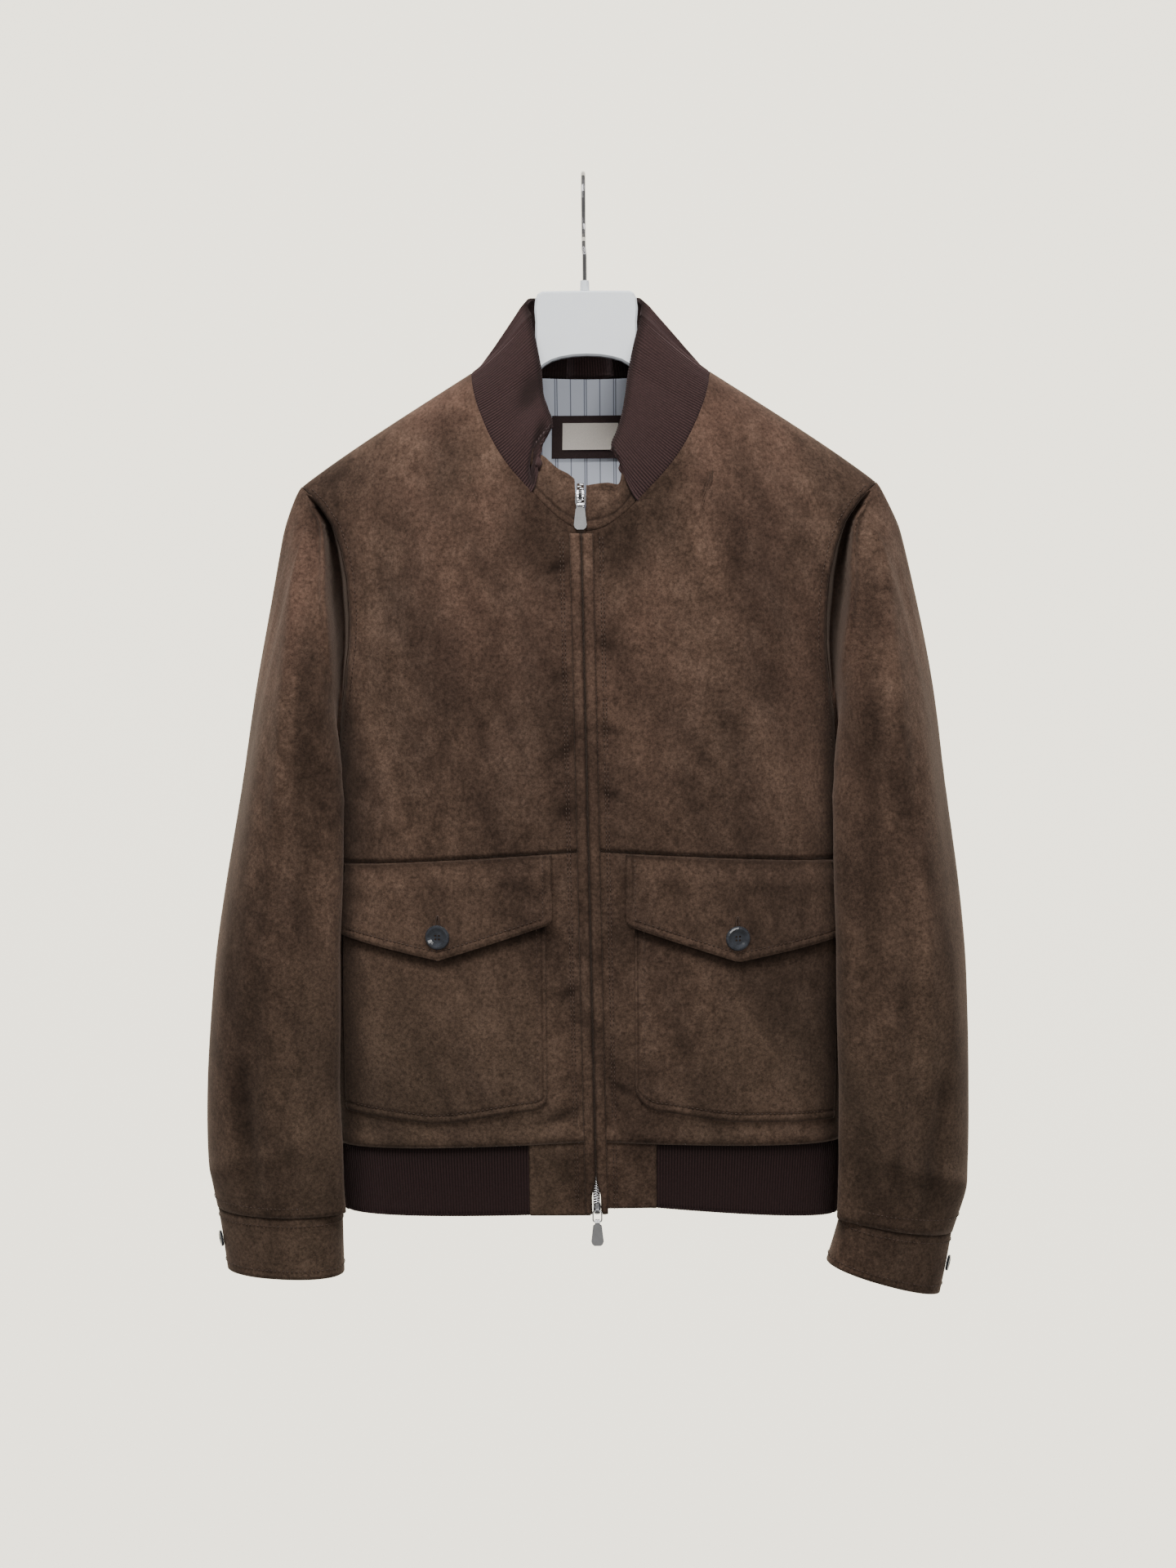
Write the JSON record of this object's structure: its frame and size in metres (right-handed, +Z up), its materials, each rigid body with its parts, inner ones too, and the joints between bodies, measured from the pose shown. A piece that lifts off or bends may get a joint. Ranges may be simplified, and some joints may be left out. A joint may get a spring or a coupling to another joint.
{
  "type": "stand collar jacket on a hanger",
  "caption": "Short zipped suede-look jacket with a ribbed stand collar and hem, flapped patch pockets and buttoned cuffs, held open on a flat white hanger with a wire hook.",
  "frame": {"origin": "the inner top of the hanger's hook, where a rod bears, in the garment's middle plane", "axes": "+Z up, the garment's front faces -Y, the wearer's right side is at -X"},
  "size_m": [0.6417, 0.1668, 0.9388],
  "materials": {
    "suede": "napped suede, matt brown",
    "rib_knit": "ribbed knit, matt dark brown",
    "zip_chain": "bright metal teeth on dark tape",
    "horn": "horn-look, satin",
    "lining": "pale striped shirting",
    "patch": "dark brown, matt",
    "label": "woven cream, bare",
    "hanger_white": "satin white, bare",
    "hanger_metal": "polished wire",
    "chrome": null
  },
  "bodies": {
    "jacket": {"front_upper_right": "suede", "front_upper_left": "suede", "front_lower_right": "suede", "front_lower_left": "suede", "back": "suede", "zip_guard_right": "suede", "zip_guard_left": "suede", "collar_tab_right": "suede", "collar_tab_left": "suede", "sleeve_right": "suede", "sleeve_left": "suede", "cuff_right": "suede", "cuff_left": "suede", "hem_panel_right": "suede", "hem_panel_left": "suede", "pocket_right": "suede", "pocket_left": "suede", "flap_right": "suede", "flap_left": "suede", "collar_rib": "rib_knit", "hem_rib": "rib_knit", "zip_chain": "zip_chain", "pocket_button_right": "horn", "pocket_button_left": "horn", "cuff_button_right": "horn", "cuff_button_left": "horn", "neck_lining": "lining", "neck_patch": "patch", "neck_label": "label", "hanger_plate": "hanger_white", "hanger_boss": "hanger_white", "hanger_hook": "hanger_metal", "slider_top": "chrome", "slider_bottom": "chrome"},
    "top_link": {"link_top": "chrome"},
    "top_tab": {"tab_top": "chrome"},
    "bottom_link": {"link_bottom": "chrome"},
    "bottom_tab": {"tab_bottom": "chrome"}
  },
  "joints": [
    {"name": "top_link_swing", "type": "hinge", "parent": "jacket", "child": "top_link", "pos_m": [-0.0045, -0.068, -0.2625], "axis": [-1, 0, 0], "range_deg": [0, 120]},
    {"name": "top_tab_swing", "type": "hinge", "parent": "top_link", "child": "top_tab", "pos_m": [-0.0045, -0.06991, -0.2715], "axis": [-1, 0, 0], "range_deg": [0, 50]},
    {"name": "bottom_link_swing", "type": "hinge", "parent": "jacket", "child": "bottom_link", "pos_m": [0.0049, -0.0664, -0.853], "axis": [-1, 0, 0], "range_deg": [0, 120]},
    {"name": "bottom_tab_swing", "type": "hinge", "parent": "bottom_link", "child": "bottom_tab", "pos_m": [0.0049, -0.0664, -0.8622], "axis": [-1, 0, 0], "range_deg": [0, 50]}
  ]
}
